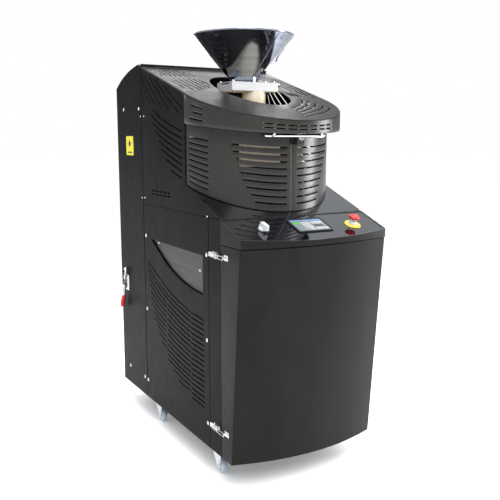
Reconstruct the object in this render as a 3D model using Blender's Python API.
"""Shop coffee roaster in a black sheet-steel cabinet on castors.

Metres, +Z up, -Y is the front of the machine, X runs left to right when facing it.
Heights are above the floor; depths are measured from the rear face of the cabinet
and moved by REAR_Y so that the bounding box is centred on the origin.
"""
import math

import bmesh
import bpy
from mathutils import Matrix, Vector

# overall cabinet
REAR_Y = 0.5673
HALF_WIDTH = 0.306
SHEET = 0.003
GAP = 0.0003
CABINET_BOTTOM = 0.096
FOLD_Y = -0.9885
FOLD_Z = 0.956
DECK_SLOPE = 0.3705
REAR_COLUMN_Y = -0.290
CREST_Y = -0.264
CREST_Z = 1.531
HOOD_SLOPE = 0.3054
SIDE_PANEL_FRONT_Y = -0.900
UPPER_PANEL_FRONT_Y = -0.714

# hood band and tower cover
HOOD_ARC_Y = -0.741
HOOD_RADIUS = 0.3065
TOWER_ARC_Y = -0.660
TOWER_RADIUS = 0.3055
SLOT_ROWS = 9
SEAM_ANGLE = 0.0

# hopper stack, on a vertical axis
HOPPER_Y = -0.614
HOPPER_RIM_Z = 1.628
HOPPER_RIM_R = 0.200
HOPPER_NECK_Z = 1.446
HOPPER_NECK_R = 0.060
PORT = (0.020, -0.626)
NECK = (0.036, -0.636)
HINGE_R = 0.0045
GATE_HOLE_R = 0.028
GATE_TOP_Z = 1.4455
GATE_LOW_Z = 1.412
NECK_R = 0.046
CHAMBER_R = 0.235
CHAMBER_LOW_Z = 1.125
CHAMBER_TOP_Z = 1.345

# front door
DOOR_TOP_Z = 0.868
DOOR_SIDE_Y = -0.9915
DOOR_CORNER_BOTTOM = -1.064
DOOR_CORNER_LEAN = 0.0825
DOOR_HINGE_X = 0.3165
DOOR_HINGE_Y = -0.9890

# castors
CASTOR_X = 0.268
CASTOR_YS = (-0.350, -0.900)
WHEEL_RADIUS = 0.030
WHEEL_TRAIL = 0.020

MATERIALS = {
    "black_paint": ((0.030, 0.032, 0.032), 0.42, 0.0),
    "tower_paint": ((0.060, 0.057, 0.052), 0.30, 0.3),
    "gloss_panel": ((0.018, 0.020, 0.024), 0.10, 0.0),
    "stainless": ((0.70, 0.70, 0.70), 0.25, 1.0),
    "brushed_steel": ((0.50, 0.50, 0.51), 0.38, 1.0),
    "zinc": ((0.62, 0.64, 0.67), 0.35, 1.0),
    "cream_enamel": ((0.66, 0.60, 0.48), 0.45, 0.0),
    "black_plastic": ((0.015, 0.015, 0.015), 0.50, 0.0),
    "red_plastic": ((0.62, 0.02, 0.02), 0.32, 0.0),
    "yellow_plastic": ((0.85, 0.62, 0.03), 0.40, 0.0),
    "white_plastic": ((0.78, 0.80, 0.82), 0.40, 0.0),
    "screen_glass": ((0.03, 0.05, 0.07), 0.06, 0.0),
    "cast_metal": ((0.10, 0.10, 0.10), 0.60, 0.8),
}


def deck_z(y):
    """Height of the sloping deck at depth y."""
    return FOLD_Z + DECK_SLOPE * (y - FOLD_Y)


def hood_z(y):
    """Height of the sloping hood top at depth y."""
    return CREST_Z + HOOD_SLOPE * (y - CREST_Y)


def band_z(y):
    """Height of the lower edge of the hood band at depth y."""
    return 1.281 + 0.122 * (y + 0.750)


def door_corner_y(z):
    return DOOR_CORNER_BOTTOM - DOOR_CORNER_LEAN * (z - CABINET_BOTTOM)


def door_bulge(z):
    return 0.0555 - 0.0265 * (z - CABINET_BOTTOM)


def material(name):
    found = bpy.data.materials.get(name)
    if found:
        return found
    colour, rough, metal = MATERIALS[name]
    made = bpy.data.materials.new(name)
    made.use_nodes = True
    shader = made.node_tree.nodes["Principled BSDF"]
    shader.inputs["Base Color"].default_value = (*colour, 1.0)
    shader.inputs["Roughness"].default_value = rough
    shader.inputs["Metallic"].default_value = metal
    made.diffuse_color = (*colour, 1.0)
    return made


def finish(name, bm, paint, origin=(0, 0, 0), smooth=None):
    """Turn a bmesh in machine coordinates into a named object placed at origin."""
    bmesh.ops.remove_doubles(bm, verts=bm.verts, dist=0.00001)
    bmesh.ops.recalc_face_normals(bm, faces=bm.faces)
    bmesh.ops.translate(bm, verts=bm.verts, vec=-Vector(origin))
    mesh = bpy.data.meshes.new(name)
    bm.to_mesh(mesh)
    bm.free()
    obj = bpy.data.objects.new(name, mesh)
    bpy.context.collection.objects.link(obj)
    obj.location = (origin[0], origin[1] + REAR_Y, origin[2])
    obj.data.materials.append(material(paint))
    if smooth:
        mesh.shade_smooth()
        mesh.set_sharp_from_angle(angle=math.radians(smooth))
    return obj


def box(lo, hi):
    bm = bmesh.new()
    bmesh.ops.create_cube(bm, size=1.0)
    for v in bm.verts:
        v.co = Vector(lo[i] if v.co[i] < 0 else hi[i] for i in range(3))
    return bm


def rod(start, end, radius, segments=12, radius_end=None):
    """Closed cylinder or cone between two points."""
    a, b = Vector(start), Vector(end)
    turn = Vector((0, 0, 1)).rotation_difference(b - a).to_matrix().to_4x4()
    bm = bmesh.new()
    bmesh.ops.create_cone(
        bm,
        cap_ends=True,
        segments=segments,
        radius1=radius,
        radius2=radius if radius_end is None else radius_end,
        depth=(b - a).length,
        matrix=Matrix.Translation((a + b) / 2) @ turn,
    )
    return bm


def slab(outline, holes, to_point, thickness):
    """Flat plate: outline and holes are 2D loops, to_point maps (u, v) to a 3D point."""
    bm = bmesh.new()
    edges = []
    for loop in [outline] + holes:
        ring = [bm.verts.new(to_point(u, v)) for u, v in loop]
        for i, vert in enumerate(ring):
            edges.append(bm.edges.new((vert, ring[(i + 1) % len(ring)])))
    bmesh.ops.triangle_fill(bm, use_beauty=True, use_dissolve=False, edges=edges)
    made = bmesh.ops.extrude_face_region(bm, geom=bm.faces[:])
    moved = [g for g in made["geom"] if isinstance(g, bmesh.types.BMVert)]
    bmesh.ops.translate(bm, verts=moved, vec=Vector(thickness))
    return bm


def lathe(profile, centre, segments):
    """Closed solid from a closed (radius, z) profile spun about a vertical axis."""
    bm = bmesh.new()
    ring = [bm.verts.new((centre[0] + r, centre[1], z)) for r, z in profile]
    edges = [bm.edges.new((v, ring[(i + 1) % len(ring)])) for i, v in enumerate(ring)]
    bmesh.ops.spin(
        bm,
        geom=ring + edges,
        cent=(centre[0], centre[1], 0),
        axis=(0, 0, 1),
        angle=math.tau,
        steps=segments,
        use_merge=True,
    )
    bmesh.ops.remove_doubles(bm, verts=bm.verts, dist=0.00001)
    return bm


def turned(bm, centre, axis, angle):
    """Rotate a bmesh about a line through centre."""
    bmesh.ops.rotate(bm, verts=bm.verts, cent=centre, matrix=Matrix.Rotation(angle, 3, axis))
    return bm


def fuse(name, parts, paint, origin=(0, 0, 0), smooth=None, cuts=()):
    """Union several bmeshes, take away the cuts, and keep one closed body."""
    base = finish(name, parts[0], paint, origin, smooth)
    helpers = []
    jobs = [(p, "UNION") for p in parts[1:]] + [(c, "DIFFERENCE") for c in cuts]
    for bm, operation in jobs:
        helper = finish(name + "_tool", bm, paint, origin)
        boolean = base.modifiers.new("join", "BOOLEAN")
        boolean.operation = operation
        boolean.solver = "EXACT"
        boolean.object = helper
        helpers.append(helper)
    bpy.context.view_layer.update()
    shape = bpy.data.meshes.new_from_object(base.evaluated_get(bpy.context.evaluated_depsgraph_get()))
    base.modifiers.clear()
    base.data = shape
    shape.name = name
    for helper in helpers:
        bpy.data.objects.remove(helper, do_unlink=True)
    if smooth:
        shape.shade_smooth()
        shape.set_sharp_from_angle(angle=math.radians(smooth))
    return base


def skin(obj, thickness=SHEET):
    """Give a one-sided sheet its thickness, inward from the drawn surface."""
    solid = obj.modifiers.new("thickness", "SOLIDIFY")
    solid.thickness = thickness
    solid.offset = -1.0
    solid.use_even_offset = True
    solid.use_quality_normals = True
    return obj


def rounded(obj, width, segments=2, angle=40):
    bevel = obj.modifiers.new("edges", "BEVEL")
    bevel.width = width
    bevel.segments = segments
    bevel.limit_method = "ANGLE"
    bevel.angle_limit = math.radians(angle)
    return obj


def slot(a, b, half):
    """Four-cornered slot outline between two points of the plate."""
    along = (Vector(b) - Vector(a)).normalized()
    side = Vector((-along.y, along.x)) * half
    a, b = Vector(a), Vector(b)
    return [tuple(a - side), tuple(b - side), tuple(b + side), tuple(a + side)]


def bent_slot(points, half):
    """Slot outline that follows a run of points."""
    left, right = [], []
    for i, p in enumerate(points):
        ahead = points[min(i + 1, len(points) - 1)]
        behind = points[max(i - 1, 0)]
        along = (Vector(ahead) - Vector(behind)).normalized()
        side = Vector((-along.y, along.x)) * half
        left.append(tuple(Vector(p) - side))
        right.append(tuple(Vector(p) + side))
    return left + right[::-1]


# ---- cabinet sheets ----


def rear_cabinet():
    """Rear column: two sides, back and curved top folded from one sheet, with a service hole."""
    bm = bmesh.new()
    top = [(0.0, 1.446), (-0.035, 1.466), (-0.075, 1.484), (-0.120, 1.500)]
    top += [(-0.170, 1.514), (-0.220, 1.524), (CREST_Y, CREST_Z), (REAR_COLUMN_Y, hood_z(REAR_COLUMN_Y))]
    line = [(0.0, CABINET_BOTTOM)] + top
    left = [bm.verts.new((-HALF_WIDTH, y, z)) for y, z in line]
    right = [bm.verts.new((HALF_WIDTH, y, z)) for y, z in line]
    low_left = bm.verts.new((-HALF_WIDTH, REAR_COLUMN_Y, CABINET_BOTTOM))
    low_right = bm.verts.new((HALF_WIDTH, REAR_COLUMN_Y, CABINET_BOTTOM))
    for i in range(len(line) - 1):
        bm.faces.new((right[i], right[i + 1], left[i + 1], left[i]))
    bm.faces.new(left + [low_left])
    bm.faces.new((right + [low_right])[::-1])
    back = finish("rear_sheet", bm, "black_paint")
    skin(back)
    bpy.context.view_layer.update()
    shape = bpy.data.meshes.new_from_object(back.evaluated_get(bpy.context.evaluated_depsgraph_get()))
    bpy.data.objects.remove(back, do_unlink=True)
    body = bmesh.new()
    body.from_mesh(shape)
    for v in body.verts:
        v.co.y += 0.0
    hole = box((-0.245, -0.02, 0.600), (0.245, 0.02, 1.260))
    fuse("rear_cabinet_shell", [body], "black_paint", cuts=[hole])


def lower_slots():
    """Rows of curved louvre slots that sweep down toward the front of the lower panel."""
    holes = []
    for row in range(13):
        drop = 0.0345 * row
        for start, end in ((0.03, 0.30), (0.36, 0.64), (0.70, 0.97)):
            run = []
            for k in range(3):
                t = start + (end - start) * k / 2
                y = -0.345 - 0.470 * t
                z = 0.800 - drop - 0.115 * t - 0.105 * t * t
                run.append((y, z))
            under_window = -0.560 - run[1][0]
            if run[0][1] > window_edge(run[0][0]) - 0.016 or run[-1][1] > window_edge(run[-1][0]) - 0.016:
                continue
            if run[-1][1] < 0.300 + 0.06 * under_window:
                continue
            holes.append(bent_slot(run, 0.0026))
    return holes


def window_edge(y):
    """Curved lower edge of the bin window, as a height."""
    t = (-0.372 - y) / 0.482
    if t < 0.0 or t > 1.0:
        return 0.812
    return 0.812 - 0.062 * t - 0.082 * t * t


def window_outline():
    rim = [(-0.372, 0.812), (-0.854, 0.812)]
    for k in range(7):
        t = 1.0 - k / 7
        rim.append((-0.372 - 0.482 * t, window_edge(-0.372 - 0.482 * t)))
    return rim


def lower_panel(name, side):
    outline = [(REAR_COLUMN_Y - 0.004, CABINET_BOTTOM), (SIDE_PANEL_FRONT_Y, CABINET_BOTTOM)]
    outline += [(SIDE_PANEL_FRONT_Y, FOLD_Z - 0.0015), (REAR_COLUMN_Y - 0.004, FOLD_Z - 0.0015)]
    holes = [window_outline()] + lower_slots()
    bm = slab(outline, holes, lambda y, z: (side * HALF_WIDTH, y, z), (-side * SHEET, 0, 0))
    finish(name, bm, "black_paint")


def upper_panel(name, side):
    """Upper side sheet with two groups of steep curved slots."""
    top = 0.0036
    front = UPPER_PANEL_FRONT_Y
    outline = [(REAR_COLUMN_Y - 0.004, FOLD_Z), (FOLD_Y + 0.012, FOLD_Z), (FOLD_Y + 0.012, deck_z(FOLD_Y + 0.012))]
    outline += [(front, deck_z(front)), (front, hood_z(front) - top)]
    outline += [(REAR_COLUMN_Y - 0.004, hood_z(REAR_COLUMN_Y - 0.004) - top)]
    holes = []
    for k in range(7):
        run = []
        for j in range(4):
            t = j / 3
            run.append((-0.340 - 0.030 * k - 0.155 * t - 0.02 * t * t, 1.470 - 0.010 * k - 0.265 * t + 0.075 * t * t))
        holes.append(bent_slot(run, 0.0028))
    for k in range(7):
        run = []
        for j in range(3):
            t = j / 2
            run.append((-0.350 - 0.040 * k - 0.020 * t, 1.205 - 0.006 * k - (0.060 + 0.006 * k) * t))
        holes.append(bent_slot(run, 0.0028))
    bm = slab(outline, holes, lambda y, z: (side * HALF_WIDTH, y, z), (-side * SHEET, 0, 0))
    finish(name, bm, "black_paint")


def front_column(name, side):
    """Narrow front column, an angle section that carries the door."""
    outer, inner = side * HALF_WIDTH, side * (HALF_WIDTH - SHEET)
    deep = side * (HALF_WIDTH - 0.030)
    front, back = FOLD_Y, SIDE_PANEL_FRONT_Y - 0.0012
    outline = [(outer, back), (outer, front), (deep, front), (deep, front + SHEET), (inner, front + SHEET), (inner, back)]
    bm = slab(outline, [], lambda x, y: (x, y, CABINET_BOTTOM), (0, 0, FOLD_Z - 0.0015 - CABINET_BOTTOM))
    finish(name, bm, "black_paint")


def control_desk():
    """Sloping control desk: a tray with a raised rim, side cheeks and a bowed front lip."""
    top_verts = []
    bm = bmesh.new()
    arc = []
    steps = 12
    for i in range(steps + 1):
        x = -HALF_WIDTH + 2 * HALF_WIDTH * i / steps
        arc.append((x, -1.1306 - 0.036 * (1 - (x / HALF_WIDTH) ** 2)))
    outline = [(HALF_WIDTH, FOLD_Y - GAP), (-HALF_WIDTH, FOLD_Y - GAP)] + arc
    top = [bm.verts.new((x, y, deck_z(y) + 0.0)) for x, y in outline]
    low = [bm.verts.new((x, y, DOOR_TOP_Z + 0.0022)) for x, y in outline]
    face = bm.faces.new(top)
    for i in range(len(outline)):
        j = (i + 1) % len(outline)
        bm.faces.new((low[i], low[j], top[j], top[i]))
    bm.faces.new(low[::-1])
    bmesh.ops.recalc_face_normals(bm, faces=bm.faces)
    made = bmesh.ops.inset_region(bm, faces=[face], thickness=0.007, use_even_offset=True)
    inner = bmesh.ops.inset_region(bm, faces=[face], thickness=0.0012, use_even_offset=True)
    bmesh.ops.translate(bm, verts=face.verts, vec=(0, 0, -0.0035))
    finish("control_desk", bm, "gloss_panel", smooth=30)


def rear_deck():
    """Painted deck sheet between the tower and the fold."""
    edge, notch = HALF_WIDTH - SHEET - GAP, HALF_WIDTH - 0.032
    front, step = FOLD_Y + GAP, FOLD_Y + SHEET + 2 * GAP
    outline = [(-edge, step), (-notch, step), (-notch, front), (notch, front), (notch, step), (edge, step)]
    outline += [(edge, -0.700), (-edge, -0.700)]
    bm = slab(outline, [], lambda x, y: (x, y, deck_z(y)), (0, 0, -0.0035))
    return bm


def front_door():
    """Bowed door tray: curved front sheet with folded side flanges, leaning forward at the top."""
    bm = bmesh.new()
    across, levels = 12, 6
    rows = []
    for j in range(levels + 1):
        z = CABINET_BOTTOM + (DOOR_TOP_Z - CABINET_BOTTOM) * j / levels
        row = [bm.verts.new((-HALF_WIDTH, DOOR_SIDE_Y, z))]
        for i in range(across + 1):
            x = -HALF_WIDTH + 2 * HALF_WIDTH * i / across
            y = door_corner_y(z) - door_bulge(z) * (1 - (x / HALF_WIDTH) ** 2)
            row.append(bm.verts.new((x, y, z)))
        row.append(bm.verts.new((HALF_WIDTH, DOOR_SIDE_Y, z)))
        rows.append(row)
    for low, high in zip(rows, rows[1:]):
        for i in range(len(low) - 1):
            bm.faces.new((low[i], low[i + 1], high[i + 1], high[i]))
    door = finish("front_door", bm, "black_paint", (DOOR_HINGE_X, DOOR_HINGE_Y, 0.5), smooth=30)
    skin(door)


def base_and_bulkhead():
    base = box((-0.3025, -0.9840, 0.0963), (0.3025, -0.004, 0.116))
    finish("base_frame", base, "black_paint")
    wall = box((-0.3020, -0.3050, 0.1163), (0.3020, -0.3020, 1.500))
    finish("bulkhead", wall, "black_paint")


def tower_half(name, columns):
    """Half of the round tower cover with its rows of slots."""
    bm = bmesh.new()

    def point(angle, share):
        a = math.radians(angle)
        y = TOWER_ARC_Y - TOWER_RADIUS * math.cos(a)
        x = TOWER_RADIUS * math.sin(a)
        low = deck_z(y) + 0.0016
        high = band_z(y) - 0.004
        return (x, y, low + (high - low) * share)

    levels = [0.0]
    for row in range(SLOT_ROWS):
        mid = 0.097 + 0.710 * row / (SLOT_ROWS - 1)
        levels += [mid - 0.010, mid + 0.010]
    levels.append(1.0)
    grid = [[bm.verts.new(point(a, s)) for s in levels] for a, _ in columns]
    for i in range(len(columns) - 1):
        rows_open = columns[i][1]
        for j in range(len(levels) - 1):
            is_slot = j % 2 == 1
            row = SLOT_ROWS - 1 - (j - 1) // 2
            if is_slot and row < rows_open:
                continue
            bm.faces.new((grid[i][j], grid[i + 1][j], grid[i + 1][j + 1], grid[i][j + 1]))
    cover = finish(name, bm, "tower_paint", smooth=30)
    skin(cover, 0.0025)


def tower_covers():
    """Column lists give an angle and how many slot rows, from the top, are open after it."""
    left = [(-77.8, 0), (-76.6, 9), (-67, 9), (-59, 0), (-50, 0), (-42, 2), (-38, 4)]
    left += [(-33, 6), (-29, 8), (-25, 9), (-18, 9), (-11, 9), (-3.8, 0), (SEAM_ANGLE - 0.05, 0)]
    right = [(SEAM_ANGLE + 0.05, 0), (4.5, 9), (11, 9), (18, 9), (25, 8), (29, 6), (33, 4)]
    right += [(38, 2), (42, 0), (50, 0), (59, 9), (67, 9), (75, 0), (77.8, 0)]
    tower_half("tower_cover_left", left)
    tower_half("tower_cover_right", right)


def hood():
    """Hood: sloping top sheet with the neck hole and slots, and the band round the front."""
    bm = bmesh.new()
    rear = REAR_COLUMN_Y - 0.0012
    band_rear = UPPER_PANEL_FRONT_Y - 0.0012
    plan = [(-HOOD_RADIUS, rear), (-HOOD_RADIUS, band_rear)]
    for k in range(25):
        a = math.radians(-90 + 180 * k / 24)
        plan.append((HOOD_RADIUS * math.sin(a), HOOD_ARC_Y - HOOD_RADIUS * math.cos(a)))
    plan += [(HOOD_RADIUS, band_rear), (HOOD_RADIUS, rear)]
    holes = []
    ring = []
    for k in range(24):
        a = math.tau * k / 24
        ring.append((0.0125 + 0.1385 * math.sin(a), -0.640 + 0.213 * math.cos(a)))
    holes.append(ring)
    for k in range(4):
        holes.append(slot((-0.235 + 0.022 * k, -0.330), (-0.175 + 0.022 * k, -0.440), 0.0022))
    for k in range(4):
        holes.append(slot((-0.245 + 0.020 * k, -0.470), (-0.195 + 0.012 * k, -0.600), 0.0022))
    for k in range(5):
        run = []
        for j in range(4):
            a = math.radians(96 - 46 * j / 3)
            r = 0.160 + 0.019 * k
            run.append((0.020 + r * math.sin(a), -0.660 - r * math.cos(a)))
        holes.append(bent_slot(run, 0.0024))
    for k in range(5):
        run = []
        for j in range(4):
            a = math.radians(42 - 30 * j / 3)
            r = 0.212 + 0.020 * k
            run.append((0.010 + r * math.sin(a), -0.650 - r * math.cos(a)))
        holes.append(bent_slot(run, 0.0024))
    edges = []
    border = []
    for loop in [plan] + holes:
        ring = [bm.verts.new((x, y, hood_z(y))) for x, y in loop]
        if not border:
            border = ring
        for i, vert in enumerate(ring):
            edges.append(bm.edges.new((vert, ring[(i + 1) % len(ring)])))
    bmesh.ops.triangle_fill(bm, use_beauty=True, use_dissolve=False, edges=edges)
    bmesh.ops.recalc_face_normals(bm, faces=bm.faces)
    if bm.faces[0].normal.z < 0:
        bmesh.ops.reverse_faces(bm, faces=bm.faces)
    band = border[1:-1]
    low = [bm.verts.new((v.co.x, v.co.y, band_z(v.co.y))) for v in band]
    for i in range(len(band) - 1):
        bm.faces.new((band[i], band[i + 1], low[i + 1], low[i])[::-1])
    cover = finish("hood_cover", bm, "tower_paint", HOOD_HINGE, smooth=30)
    skin(cover)


HOOD_HINGE = (0.0, REAR_COLUMN_Y - 0.0006, CREST_Z + HOOD_SLOPE * (REAR_COLUMN_Y - CREST_Y) + HINGE_R + 0.0006)


def hood_hinge():
    """Hinge rail with corner barrels on the rear column, and the long tube between them on the hood."""
    y, z = HOOD_HINGE[1], HOOD_HINGE[2]
    barrels = [rod((side * 0.2500, y, z), (side * 0.3040, y, z), HINGE_R, 14) for side in (-1, 1)]
    outline = [(-0.302, y + 0.0240), (0.302, y + 0.0240), (0.302, y + 0.0014), (0.252, y + 0.0014), (0.252, y + 0.0080)]
    outline += [(-0.252, y + 0.0080), (-0.252, y + 0.0014), (-0.302, y + 0.0014)]
    leaf = slab(outline, [], lambda u, v: (u, v, hood_z(v) + GAP), (0, 0, 0.0021))
    fuse("hood_hinge_rail", [leaf] + barrels, "black_paint", smooth=40)
    tube = rod((-0.2494, y, z), (0.2494, y, z), HINGE_R, 14)
    leaf = box((-0.245, y - 0.0240, z - 0.0062), (0.245, y - 0.0014, z - 0.0040))
    for v in leaf.verts:
        v.co.z = hood_z(v.co.y) + (0.0024 if v.co.z > z - 0.005 else GAP)
    fuse("hood_hinge_tube", [tube, leaf], "black_paint", HOOD_HINGE, smooth=40)


def hood_handle():
    """Bright bar under the front edge of the hood, on two stems, with a centre lug."""
    z = 1.2390
    bar = []
    points = []
    for k in range(7):
        x = -0.130 + 0.250 * k / 6
        points.append(Vector((x, -0.9870 - 0.018 * (1 - (x / 0.14) ** 2), z)))
    bar = sweep(points, 0.0073, 8)
    stems = []
    for x in (-0.105, 0.095):
        y = -0.9870 - 0.018 * (1 - (x / 0.14) ** 2)
        stems.append(box((x - 0.006, y - 0.020, z - 0.004), (x + 0.006, y + 0.002, z + 0.004)))
        stems.append(box((x - 0.006, y - 0.020, z - 0.004), (x + 0.006, y - 0.014, band_z(y - 0.020) - GAP)))
    lug = box((0.002, -1.011, z - 0.0175), (0.024, -0.999, z - 0.002))
    return bar, stems, lug


def sweep(points, radius, segments):
    """Round bar along a run of points, with flat closed ends."""
    bm = bmesh.new()
    rings = []
    up = Vector((0, 0, 1))
    for i, p in enumerate(points):
        ahead = points[min(i + 1, len(points) - 1)]
        behind = points[max(i - 1, 0)]
        along = (ahead - behind).normalized()
        if abs(along.dot(up)) > 0.95:
            side = Vector((0, 1, 0)).cross(along).normalized()
        else:
            side = up.cross(along).normalized()
        lift = along.cross(side)
        ring = []
        for k in range(segments):
            a = math.tau * k / segments
            ring.append(bm.verts.new(p + side * radius * math.cos(a) + lift * radius * math.sin(a)))
        rings.append(ring)
    for a, b in zip(rings, rings[1:]):
        for k in range(segments):
            m = (k + 1) % segments
            bm.faces.new((a[k], a[m], b[m], b[k]))
    bm.faces.new(rings[0][::-1])
    bm.faces.new(rings[-1])
    return bm


# ---- hopper stack ----


def hopper_stack():
    axis = (0.0, HOPPER_Y)
    wall = 0.0018
    cone = [(HOPPER_NECK_R, HOPPER_NECK_Z), (HOPPER_NECK_R, HOPPER_NECK_Z + 0.020), (HOPPER_RIM_R - 0.004, HOPPER_RIM_Z - 0.008)]
    cone += [(HOPPER_RIM_R, HOPPER_RIM_Z - 0.006), (HOPPER_RIM_R + 0.001, HOPPER_RIM_Z - 0.003), (HOPPER_RIM_R, HOPPER_RIM_Z)]
    cone += [(HOPPER_RIM_R - 0.005, HOPPER_RIM_Z), (HOPPER_NECK_R - wall, HOPPER_NECK_Z + 0.022)]
    cone += [(HOPPER_NECK_R - wall, HOPPER_NECK_Z)]
    finish("hopper_cone", lathe(cone, axis, 28), "stainless", HOOD_HINGE, smooth=35)

    a = math.radians(12)
    out = Vector((math.cos(a), math.sin(a), 0))
    centre = Vector((0, HOPPER_Y, 0))
    slope = (HOPPER_RIM_R - 0.004 - HOPPER_NECK_R) / (HOPPER_RIM_Z - 0.028 - HOPPER_NECK_Z)
    top_z, low_z = HOPPER_RIM_Z - 0.022, HOPPER_RIM_Z - 0.094
    top_r = HOPPER_RIM_R - 0.004 - slope * 0.014 + 0.0048
    low_r = HOPPER_RIM_R - 0.004 - slope * 0.086 + 0.0048
    points = [centre + out * (top_r - 0.000) + Vector((0, 0, top_z))]
    points.append(centre + out * (top_r + 0.029) + Vector((0, 0, top_z + 0.001)))
    points.append(centre + out * (top_r + 0.037) + Vector((0, 0, top_z - 0.008)))
    points.append(centre + out * (low_r + 0.063) + Vector((0, 0, low_z + 0.014)))
    points.append(centre + out * (low_r + 0.053) + Vector((0, 0, low_z + 0.002)))
    points.append(centre + out * low_r + Vector((0, 0, low_z)))
    finish("hopper_handle", sweep(points, 0.0042, 8), "stainless", HOOD_HINGE, smooth=50)

    x0, x1 = -0.085, 0.125
    y0, y1 = HOPPER_Y - 0.062, HOPPER_Y + 0.062
    channel = GATE_TOP_Z - 0.0085
    floor = slab_with_hole((x0, y0), (x1, y1), PORT[0], PORT[1], GATE_HOLE_R, GATE_LOW_Z, channel)
    roof = slab_with_hole((x0, y0), (x1, y1), PORT[0], PORT[1], GATE_HOLE_R + 0.002, GATE_TOP_Z - 0.0030, GATE_TOP_Z)
    rails = []
    for s in (-1, 1):
        ya, yb = sorted((HOPPER_Y + s * 0.0365, HOPPER_Y + s * 0.0615))
        rails.append(box((x0 + 0.0005, ya, channel - 0.001), (x1 - 0.0005, yb, GATE_TOP_Z - 0.002)))
    fuse("gate_body", [roof, floor] + rails, "stainless", HOOD_HINGE, smooth=35)

    mid = channel + 0.0027
    blade = box((-0.050, HOPPER_Y - 0.0355, mid - 0.0020), (0.142, HOPPER_Y + 0.0355, mid + 0.0020))
    lip = box((0.134, HOPPER_Y - 0.030, mid - 0.0055), (0.143, HOPPER_Y + 0.010, mid + 0.0018))
    knob = rod((0.140, HOPPER_Y - 0.014, mid), (0.160, HOPPER_Y - 0.014, mid), 0.0075, 12)
    fuse("slide_gate", [blade, lip, knob], "stainless", (0.0, HOPPER_Y, mid), smooth=40)

    neck_top, neck_low = GATE_LOW_Z - GAP, CHAMBER_TOP_Z + 0.004
    neck = [(NECK_R, neck_low), (NECK_R, neck_top), (0.036, neck_top), (0.036, neck_low)]
    finish("feed_neck", lathe(neck, NECK, 24), "cream_enamel", HOOD_HINGE, smooth=35)


def slab_with_hole(lo, hi, cx, cy, radius, z0, z1):
    outline = [(lo[0], lo[1]), (hi[0], lo[1]), (hi[0], hi[1]), (lo[0], hi[1])]
    ring = []
    for k in range(20):
        a = math.tau * k / 20
        ring.append((cx + radius * math.cos(a), cy + radius * math.sin(a)))
    return slab(outline, [ring], lambda x, y: (x, y, z0), (0, 0, z1 - z0))


# ---- insides ----


def insides():
    """Roasting chamber with its stirrer, the cooling bin and the blower case."""
    axis = (0.0, HOPPER_Y)
    wall = 0.004
    r, low, high = CHAMBER_R, CHAMBER_LOW_Z, CHAMBER_TOP_Z
    chamber = [(0.012, low), (r, low), (r, high), (0.080, high), (0.080, high - wall), (r - wall, high - wall)]
    chamber += [(r - wall, low + wall), (0.012, low + wall)]
    finish("roasting_chamber", lathe(chamber, axis, 24), "cream_enamel", smooth=35)
    yc = HOPPER_Y
    shaft = rod((0, yc, low - 0.060), (0, yc, low + 0.110), 0.0095, 12)
    arm = box((-0.170, yc - 0.008, low + 0.030), (0.170, yc + 0.008, low + 0.042))
    blade_a = box((0.120, yc - 0.004, low + 0.010), (0.172, yc + 0.004, low + 0.075))
    blade_b = box((-0.172, yc - 0.004, low + 0.010), (-0.120, yc + 0.004, low + 0.075))
    fuse("stirrer", [shaft, arm, blade_a, blade_b], "brushed_steel", (0, yc, low), smooth=40)
    shelf = box((-0.220, -0.8300, low - 0.012), (0.220, -0.3054, low - GAP))
    hole = rod((0, yc, low - 0.02), (0, yc, low + 0.01), 0.014, 14)
    fuse("chamber_shelf", [shelf], "brushed_steel", cuts=[hole])
    x, ya, yb, za, zb = 0.270, -0.8700, -0.3400, 0.560, 0.905
    outer = box((-x, ya, za), (x, yb, zb))
    inner = box((-x + wall, ya + wall, za + wall), (x - wall, yb - wall, zb + 0.05))
    fuse("cooling_bin", [outer], "brushed_steel", cuts=[inner])
    fan = (0.0, -0.620)
    drum = [(0.040, 0.1166), (0.165, 0.1166), (0.165, 0.4200), (0.060, 0.4200), (0.060, 0.4160), (0.161, 0.4160)]
    drum += [(0.161, 0.1206), (0.040, 0.1206)]
    finish("blower_housing", lathe(drum, fan, 20), "cast_metal", smooth=35)


# ---- desk fittings ----


def desk_fittings():
    """Touchscreen, emergency stop and key switch, all square to the sloping desk."""
    tilt = Matrix.Rotation(math.atan(DECK_SLOPE), 4, "X")

    def on_desk(bm, x, y, lift):
        place = Matrix.Translation((x, y, deck_z(y) - 0.0035 + lift)) @ tilt
        bmesh.ops.transform(bm, matrix=place, verts=bm.verts)
        return bm

    screen = on_desk(box((-0.0740, -0.0490, 0.0), (0.0740, 0.0490, 0.0045)), 0.013, -1.0640, GAP)
    rounded(finish("touchscreen", screen, "screen_glass"), 0.0015, 1)
    x, y = 0.1900, -1.0820
    ring = on_desk(rod((0, 0, 0), (0, 0, 0.004), 0.030, 24), x, y, GAP)
    collar = on_desk(rod((0, 0, 0.003), (0, 0, 0.016), 0.014, 16), x, y, GAP)
    fuse("estop_collar", [ring, collar], "yellow_plastic", smooth=40)
    up = tilt.to_3x3() @ Vector((0, 0, 1))
    origin = Vector((x, y, deck_z(y) - 0.0035)) + up * 0.0165
    cap = on_desk(rod((0, 0, 0.0238), (0, 0, 0.036), 0.020, 20, 0.017), x, y, GAP)
    stem = on_desk(rod((0, 0, 0.0220), (0, 0, 0.026), 0.010, 16), x, y, GAP)
    fuse("estop_button", [cap, stem], "red_plastic", tuple(origin), smooth=30)
    x, y = -0.1840, -1.0700
    body = on_desk(rod((0, 0, 0), (0, 0, 0.010), 0.0180, 20), x, y, GAP)
    grip = on_desk(box((-0.0100, -0.0270, 0.008), (0.0100, 0.0220, 0.026)), x, y, GAP)
    origin = (x, y, deck_z(y) - 0.0035)
    fuse("selector_knob", [body, grip], "white_plastic", origin, smooth=30)


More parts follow.
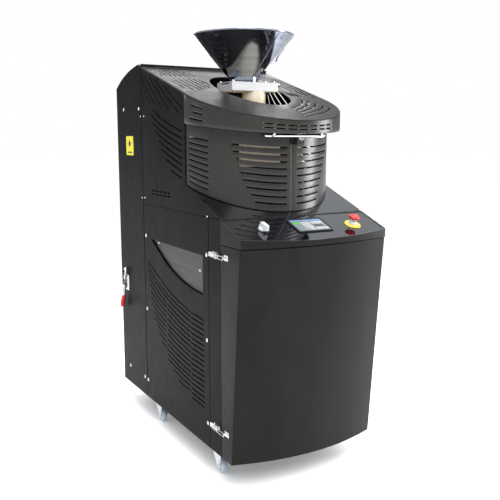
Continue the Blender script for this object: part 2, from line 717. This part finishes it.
# ---- latches, hinges, clamps ----


def draw_latch(tag, z):
    """Draw latch on the left flank: base plate on the column, lever, bail and door keeper."""
    face = -HALF_WIDTH - GAP
    column_y = -0.9560
    plate = box((face - 0.0015, column_y - 0.022, z - 0.011), (face, column_y + 0.022, z + 0.011))
    ears = [box((face - 0.0110, column_y - 0.020, z + s - 0.001), (face - 0.001, column_y - 0.008, z + s + 0.001)) for s in (-0.0095, 0.0095)]
    fuse("latch_base_" + tag, [plate] + ears, "stainless")
    pivot = (face - 0.0075, column_y - 0.0140, z)
    lever = box((face - 0.0095, column_y - 0.0120, z - 0.0080), (face - 0.0055, column_y + 0.034, z + 0.0080))
    eye = rod((pivot[0], pivot[1], z - 0.0080), (pivot[0], pivot[1], z + 0.0080), 0.0034, 10)
    fuse("latch_lever_" + tag, [lever, eye], "stainless", pivot)
    bail_x = face - 0.0140
    hook_y = -1.0330
    arms = []
    for s in (-0.0055, 0.0055):
        arms.append(box((bail_x - 0.0014, hook_y, z + s - 0.0014), (bail_x + 0.0014, column_y + 0.012, z + s + 0.0014)))
    cross = box((bail_x - 0.0014, hook_y - 0.0014, z - 0.0069), (bail_x + 0.0014, hook_y + 0.0014, z + 0.0069))
    root = box((bail_x - 0.0014, column_y + 0.0106, z - 0.0069), (bail_x + 0.0014, column_y + 0.0134, z + 0.0069))
    bail_pivot = (bail_x, column_y + 0.012, z)
    fuse("latch_bail_" + tag, arms + [cross, root], "stainless", bail_pivot)
    plate = box((face - 0.0015, hook_y - 0.014, z - 0.0100), (face, hook_y + 0.016, z + 0.0100))
    hook = box((face - 0.0105, hook_y + 0.0040, z - 0.0035), (face - 0.001, hook_y + 0.0070, z + 0.0035))
    fuse("latch_keeper_" + tag, [plate, hook], "stainless", (DOOR_HINGE_X, DOOR_HINGE_Y, 0.5))


def toggle_clamp(tag, side):
    """Upright toggle clamp near the rear foot of the column, with a red hand grip."""
    face = side * (HALF_WIDTH + GAP)

    def span(lo, hi):
        a, b = face + side * lo, face + side * hi
        return min(a, b), max(a, b)

    x0, x1 = span(0.0, 0.003)
    y = -0.078
    plate = box((x0, y - 0.022, 0.540), (x1, y + 0.022, 0.612))
    x0, x1 = span(0.002, 0.022)
    cheeks = [box((x0, y + s - 0.0015, 0.552), (x1, y + s + 0.0015, 0.590)) for s in (-0.010, 0.010)]
    x0, x1 = span(0.002, 0.016)
    guide = box((x0, y - 0.0085, 0.592), (x1, y + 0.0085, 0.608))
    tip = rod((face + side * 0.009, y, 0.600), (face + side * 0.009, y, 0.640), 0.0050, 12)
    head = rod((face + side * 0.009, y, 0.636), (face + side * 0.009, y, 0.646), 0.0085, 12)
    fuse("clamp_base_" + tag, [plate, guide, tip, head] + cheeks, "stainless", smooth=40)
    pivot = (face + side * 0.0170, y, 0.5600)
    x0, x1 = span(0.0125, 0.0215)
    eye = box((x0, y - 0.0075, 0.540), (x1, y + 0.0075, 0.566))
    arm = rod((face + side * 0.017, y, 0.545), (face + side * 0.017, y + 0.028, 0.480), 0.0045, 10)
    start = Vector((face + side * 0.017, y + 0.0137, 0.5132))
    along = Vector((0, 0.028, -0.065)).normalized()
    grip = rod(start, start + along * 0.064, 0.0105, 14, 0.0085)
    fuse("clamp_lever_" + tag, [eye, arm, grip], "red_plastic", pivot, smooth=40)


def door_hinges():
    """Hinge on the right flank: a post with two barrels, and the tube between them on the door."""
    x, y = DOOR_HINGE_X, DOOR_HINGE_Y
    face = HALF_WIDTH + GAP
    near, mid, far = y + 0.0030, y + 0.0080, y + 0.0500
    outline = [(far, 0.180), (far, 0.810), (near, 0.810), (near, 0.760), (mid, 0.760), (mid, 0.230), (near, 0.230), (near, 0.180)]
    parts = [slab(outline, [], lambda u, v: (face, u, v), (0.0025, 0, 0))]
    for z0, z1 in ((0.180, 0.230), (0.760, 0.810)):
        parts.append(rod((x, y, z0), (x, y, z1), 0.0065, 14))
        parts.append(box((face + 0.0005, y + 0.0015, z0 + 0.001), (x, y + 0.0050, z1 - 0.001)))
    fuse("door_hinge_post", parts, "black_paint", smooth=40)
    tube = rod((x, y, 0.2306), (x, y, 0.7594), 0.0065, 14)
    leaf = box((face, y - 0.050, 0.2320), (face + 0.0025, y - 0.0045, 0.7580))
    arm = box((face + 0.0005, y - 0.0070, 0.2330), (x, y - 0.0030, 0.7570))
    fuse("door_hinge_tube", [tube, leaf, arm], "black_paint", (x, y, 0.5), smooth=40)


def rear_door():
    """Service door on the rear face with two quarter-turn knobs."""
    hinge_x, hinge_y = 0.281, 0.0075
    origin = (hinge_x, hinge_y, 0.930)
    panel = box((-0.276, GAP, 0.570), (0.272, 0.0085, 1.290))
    barrel = rod((hinge_x, hinge_y, 0.600), (hinge_x, hinge_y, 1.260), 0.0050, 12)
    arm = box((0.268, hinge_y - 0.0035, 0.600), (hinge_x, hinge_y + 0.0010, 1.260))
    fuse("rear_service_door", [panel, barrel, arm], "black_paint", origin)
    for tag, z in (("upper", 1.128), ("lower", 0.797)):
        base = rod((-0.252, 0.0088, z), (-0.252, 0.0160, z), 0.0150, 20)
        grip = box((-0.2565, 0.0150, z - 0.0150), (-0.2475, 0.0320, z + 0.0150))
        fuse("rear_door_knob_" + tag, [base, grip], "black_plastic", (-0.252, 0.0088, z), smooth=40)


def power_inlet():
    """Cable gland low on the rear face."""
    nut = rod((0.180, GAP, 0.230), (0.180, 0.012, 0.230), 0.019, 6)
    cap = rod((0.180, 0.010, 0.230), (0.180, 0.030, 0.230), 0.0145, 16)
    bore = rod((0.180, 0.012, 0.230), (0.180, 0.040, 0.230), 0.0075, 12)
    fuse("power_gland", [nut, cap], "black_plastic", smooth=40, cuts=[bore])


def castors():
    """Four twin-bearing swivel castors, trailing toward the rear."""
    top = CABINET_BOTTOM
    for i, (tag, side) in enumerate((("left", -1), ("right", 1))):
        for place, y in zip(("rear", "front"), CASTOR_YS):
            x = side * CASTOR_X
            name = place + "_" + tag
            wy = y - WHEEL_TRAIL
            plate = box((x - 0.030, y - 0.030, top - 0.0035), (x + 0.030, y + 0.030, top - GAP + 0.0003))
            race = rod((x, y, top - 0.015), (x, y, top - 0.002), 0.022, 20)
            crown = box((x - 0.0165, y - 0.042, top - 0.0220), (x + 0.0165, y + 0.018, top - 0.0135))
            legs = []
            for s in (-1, 1):
                xa, xb = sorted((x + s * 0.0140, x + s * 0.0165))
                leg = box((xa, wy - 0.012, WHEEL_RADIUS - 0.009), (xb, wy + 0.016, top - 0.0135))
                for v in leg.verts:
                    if v.co.z > 0.05:
                        v.co.y += 0.014 if v.co.y > wy else -0.004
                legs.append(leg)
            axle = rod((x - 0.0190, wy, WHEEL_RADIUS), (x + 0.0190, wy, WHEEL_RADIUS), 0.0040, 12)
            fuse("castor_fork_" + name, [plate, race, crown] + legs + [axle], "zinc", (x, y, top), smooth=40)
            wheel = bmesh.new()
            loop = [(0.0046, -0.011), (0.0220, -0.011), (0.0235, -0.0085), (0.0280, -0.0085), (WHEEL_RADIUS, -0.006)]
            loop += [(WHEEL_RADIUS, 0.006), (0.0280, 0.0085), (0.0235, 0.0085), (0.0220, 0.011), (0.0046, 0.011)]
            ring = [wheel.verts.new((x + h, wy, WHEEL_RADIUS - r)) for r, h in loop]
            edges = [wheel.edges.new((v, ring[(k + 1) % len(ring)])) for k, v in enumerate(ring)]
            bmesh.ops.spin(wheel, geom=ring + edges, cent=(x, wy, WHEEL_RADIUS), axis=(1, 0, 0), angle=math.tau, steps=24, use_merge=True)
            turned(wheel, (x, wy, WHEEL_RADIUS), "X", math.radians(7.5))
            stretch = 1 / math.cos(math.radians(7.5))
            for v in wheel.verts:
                v.co.y = wy + (v.co.y - wy) * stretch
                v.co.z = WHEEL_RADIUS + (v.co.z - WHEEL_RADIUS) * stretch
            finish("castor_wheel_" + name, wheel, "white_plastic", (x, wy, WHEEL_RADIUS), smooth=40)


def main():
    for obj in list(bpy.data.objects):
        bpy.data.objects.remove(obj, do_unlink=True)
    base_and_bulkhead()
    rear_cabinet()
    for tag, side in (("left", -1), ("right", 1)):
        lower_panel("lower_side_panel_" + tag, side)
        upper_panel("upper_side_panel_" + tag, side)
        front_column("front_column_" + tag, side)
        toggle_clamp(tag, side)
    finish("rear_deck", rear_deck(), "black_paint")
    control_desk()
    tower_covers()
    hood()
    hood_hinge()
    bar, stems, lug = hood_handle()
    fuse("hood_handle_bar", [bar, lug] + stems, "stainless", HOOD_HINGE, smooth=40)
    catch = box((0.0040, -0.9930, 1.2070), (0.0360, -0.9660, 1.2290))
    for v in catch.verts:
        if v.co.y > -0.98:
            v.co.y = TOWER_ARC_Y - TOWER_RADIUS - GAP
    finish("hood_catch", catch, "black_plastic")
    hopper_stack()
    insides()
    desk_fittings()
    front_door()
    door_hinges()
    draw_latch("upper", 0.830)
    draw_latch("lower", 0.200)
    rear_door()
    power_inlet()
    castors()


main()
